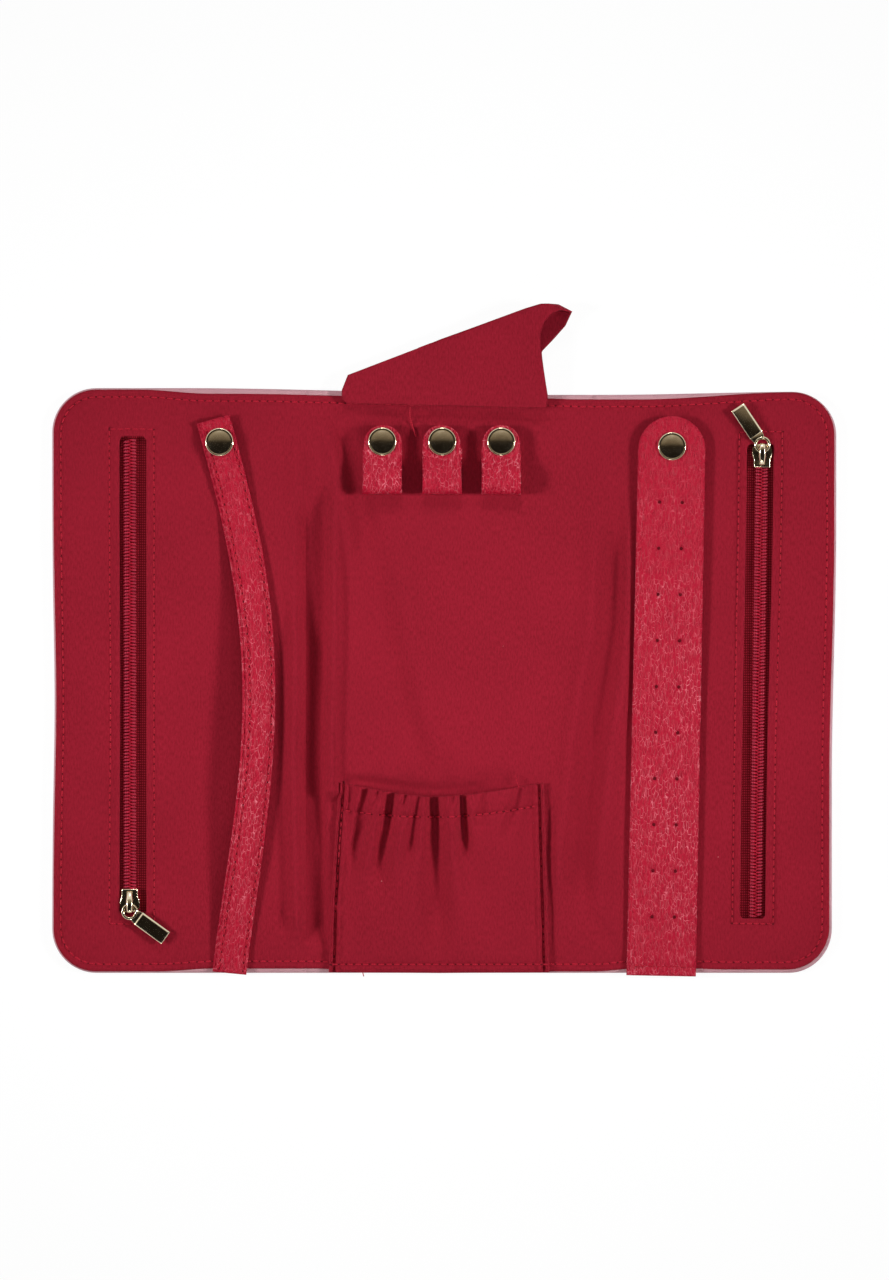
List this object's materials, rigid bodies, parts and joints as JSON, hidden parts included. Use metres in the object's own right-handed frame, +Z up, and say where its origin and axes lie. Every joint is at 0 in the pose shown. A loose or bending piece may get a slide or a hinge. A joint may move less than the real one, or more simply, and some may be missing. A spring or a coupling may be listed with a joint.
{
  "type": "folding travel jewellery case",
  "caption": "Soft folding jewellery case lying open: zipped wing pockets, ring strap, earring strap, snap loops for necklaces, gathered pocket and necklace flap.",
  "frame": {"origin": "centre of the open case's underside, on the centre panel's outer cover", "axes": "+X across the open case from the ring-strap wing to the earring-strap wing, +Y to the top edge with the necklace flap, +Z up out of the lining"},
  "size_m": [0.3022, 0.2566, 0.0119],
  "materials": {
    "blush_leatherette": "fine grained, satin",
    "red_leatherette": "pebbled grain, satin",
    "lining_cloth": "fine plain weave, matt",
    "pocket_cloth": "fine plain weave, matt",
    "pouch_cloth": "thin plain weave, matt",
    "foam": "open cell sheet",
    "zip_tape": "herringbone tape, matt",
    "zip_coil": "moulded filament, satin",
    "zip_metal": "pale gold plate, polished",
    "snap_metal": "pale gold plate, polished",
    "elastic": "knitted elastic"
  },
  "bodies": {
    "centre_panel": {"outer_cover_centre": "blush_leatherette", "padding_centre": "foam", "lining_centre": "lining_cloth", "elastic_pocket": "pocket_cloth", "pocket_elastic": "elastic", "necklace_loop_1_back": "red_leatherette", "necklace_loop_1_snap_stud": "snap_metal", "necklace_loop_2_back": "red_leatherette", "necklace_loop_2_snap_stud": "snap_metal", "necklace_loop_3_back": "red_leatherette", "necklace_loop_3_snap_stud": "snap_metal"},
    "left_spine": {"outer_cover_spine_left": "blush_leatherette", "lining_spine_left": "lining_cloth"},
    "left_wing": {"outer_cover_left": "blush_leatherette", "padding_left": "foam", "zip_pocket_cloth_left": "pouch_cloth", "lining_left": "lining_cloth", "zip_tape_left_a": "zip_tape", "zip_tape_left_b": "zip_tape", "zip_coil_left_a": "zip_coil", "zip_coil_left_b": "zip_coil", "ring_strap_snap_stud": "snap_metal"},
    "right_spine": {"outer_cover_spine_right": "blush_leatherette", "lining_spine_right": "lining_cloth"},
    "right_wing": {"outer_cover_right": "blush_leatherette", "padding_right": "foam", "zip_pocket_cloth_right": "pouch_cloth", "lining_right": "lining_cloth", "zip_tape_right_a": "zip_tape", "zip_tape_right_b": "zip_tape", "zip_coil_right_a": "zip_coil", "zip_coil_right_b": "zip_coil", "earring_strap_snap_stud": "snap_metal"},
    "left_slider": {"zip_slider_left": "zip_metal", "zip_slider_base_left": "zip_metal"},
    "left_puller": {"zip_puller_left": "zip_metal"},
    "right_slider": {"zip_slider_right": "zip_metal", "zip_slider_base_right": "zip_metal"},
    "right_puller": {"zip_puller_right": "zip_metal"},
    "ring_strap": {"ring_strap_back": "red_leatherette", "ring_strap_face": "red_leatherette", "ring_strap_snap_cap": "snap_metal", "ring_strap_snap_socket": "snap_metal"},
    "earring_strap": {"earring_strap_back": "red_leatherette", "earring_strap_face": "red_leatherette", "earring_strap_snap_cap": "snap_metal", "earring_strap_snap_socket": "snap_metal"},
    "necklace_flap": {"necklace_flap": "pocket_cloth"},
    "necklace_loop_1": {"necklace_loop_1_front": "red_leatherette", "necklace_loop_1_snap_cap": "snap_metal", "necklace_loop_1_snap_socket": "snap_metal"},
    "necklace_loop_2": {"necklace_loop_2_front": "red_leatherette", "necklace_loop_2_snap_cap": "snap_metal", "necklace_loop_2_snap_socket": "snap_metal"},
    "necklace_loop_3": {"necklace_loop_3_front": "red_leatherette", "necklace_loop_3_snap_cap": "snap_metal", "necklace_loop_3_snap_socket": "snap_metal"}
  },
  "joints": [
    {"name": "left_spine_fold", "type": "hinge", "parent": "centre_panel", "child": "left_spine", "pos_m": [-0.0472, 0, 0.0038], "axis": [0, 1, 0], "range_deg": [0, 90]},
    {"name": "left_wing_fold", "type": "hinge", "parent": "left_spine", "child": "left_wing", "pos_m": [-0.0595, 0, 0.0038], "axis": [0, 1, 0], "range_deg": [0, 90]},
    {"name": "right_spine_fold", "type": "hinge", "parent": "centre_panel", "child": "right_spine", "pos_m": [0.0463, 0, 0.0038], "axis": [0, -1, 0], "range_deg": [0, 90]},
    {"name": "right_wing_fold", "type": "hinge", "parent": "right_spine", "child": "right_wing", "pos_m": [0.0683, 0, 0.0038], "axis": [0, -1, 0], "range_deg": [0, 90]},
    {"name": "left_zip_slide", "type": "slide", "parent": "left_wing", "child": "left_slider", "axis": [0, -1, 0], "range_m": [-0.173, 0]},
    {"name": "left_puller_swivel", "type": "hinge", "parent": "left_slider", "child": "left_puller", "pos_m": [-0.1211, -0.0889, 0.0063], "axis": [0, 0, 1], "range_deg": [-129, 21]},
    {"name": "right_zip_slide", "type": "slide", "parent": "right_wing", "child": "right_slider", "axis": [0.0136, 0.9999, 0], "range_m": [-0.173, 0]},
    {"name": "right_puller_swivel", "type": "hinge", "parent": "right_slider", "child": "right_puller", "pos_m": [0.12224, 0.09079, 0.0063], "axis": [0, 0, 1], "range_deg": [-109.5, 40.5]},
    {"name": "ring_strap_lift", "type": "hinge", "parent": "left_wing", "child": "ring_strap", "pos_m": [-0.0824, -0.1126, 0.0041], "axis": [-1, 0, 0], "range_deg": [-110, 0]},
    {"name": "earring_strap_lift", "type": "hinge", "parent": "right_wing", "child": "earring_strap", "pos_m": [0.0837, -0.11385, 0.0041], "axis": [-1, 0, 0], "range_deg": [-110, 0]},
    {"name": "necklace_flap_fold", "type": "hinge", "parent": "centre_panel", "child": "necklace_flap", "pos_m": [0, 0.105, 0.0047], "axis": [-1, 0, 0], "range_deg": [-125, 0]},
    {"name": "necklace_loop_1_open", "type": "hinge", "parent": "centre_panel", "child": "necklace_loop_1", "pos_m": [-0.0239, 0.0714, 0.008], "axis": [-1, 0, 0], "range_deg": [-110, 0]},
    {"name": "necklace_loop_2_open", "type": "hinge", "parent": "centre_panel", "child": "necklace_loop_2", "pos_m": [-0.0009, 0.0714, 0.008], "axis": [-1, 0, 0], "range_deg": [-110, 0]},
    {"name": "necklace_loop_3_open", "type": "hinge", "parent": "centre_panel", "child": "necklace_loop_3", "pos_m": [0.0218, 0.0714, 0.008], "axis": [-1, 0, 0], "range_deg": [-110, 0]}
  ],
  "couplings": [
    {"joint": "left_wing_fold", "follows": "left_spine_fold", "ratio": 1},
    {"joint": "right_wing_fold", "follows": "right_spine_fold", "ratio": 1}
  ]
}
